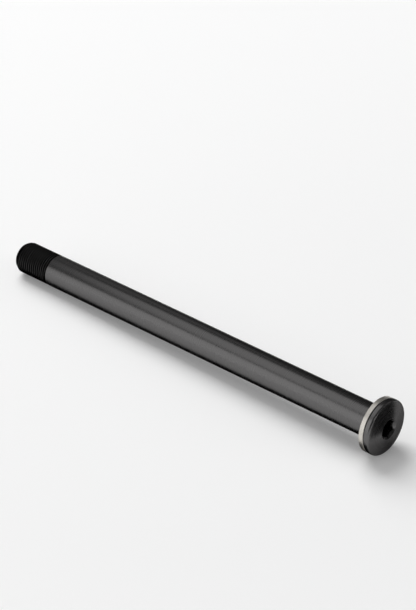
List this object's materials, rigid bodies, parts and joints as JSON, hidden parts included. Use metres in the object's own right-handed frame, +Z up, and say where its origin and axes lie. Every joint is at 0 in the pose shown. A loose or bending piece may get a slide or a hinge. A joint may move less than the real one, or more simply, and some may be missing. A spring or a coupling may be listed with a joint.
{
  "type": "bicycle thru axle",
  "caption": "Black rear bicycle thru axle: long smooth shank, fine-threaded tip, low conical head with a hexagon socket, and a silver washer that turns under the head.",
  "frame": {"origin": "on the axle's axis, in the washer face that bears on the frame's dropout", "axes": "+X along the axis from the threaded tip to the head, +Z up, two flats of the hexagon socket face +Y and -Y"},
  "size_m": [0.1721, 0.0206, 0.0204],
  "materials": {
    "black_anodised_aluminium": "satin black anodised",
    "turned_steel": "fine turned, bare"
  },
  "bodies": {
    "axle": {"axle": "black_anodised_aluminium"},
    "washer": {"washer": "turned_steel"}
  },
  "joints": [
    {"name": "washer_spin", "type": "hinge", "parent": "axle", "child": "washer", "pos_m": [0.0009, 0, 0], "axis": [1, 0, 0], "continuous": true}
  ]
}
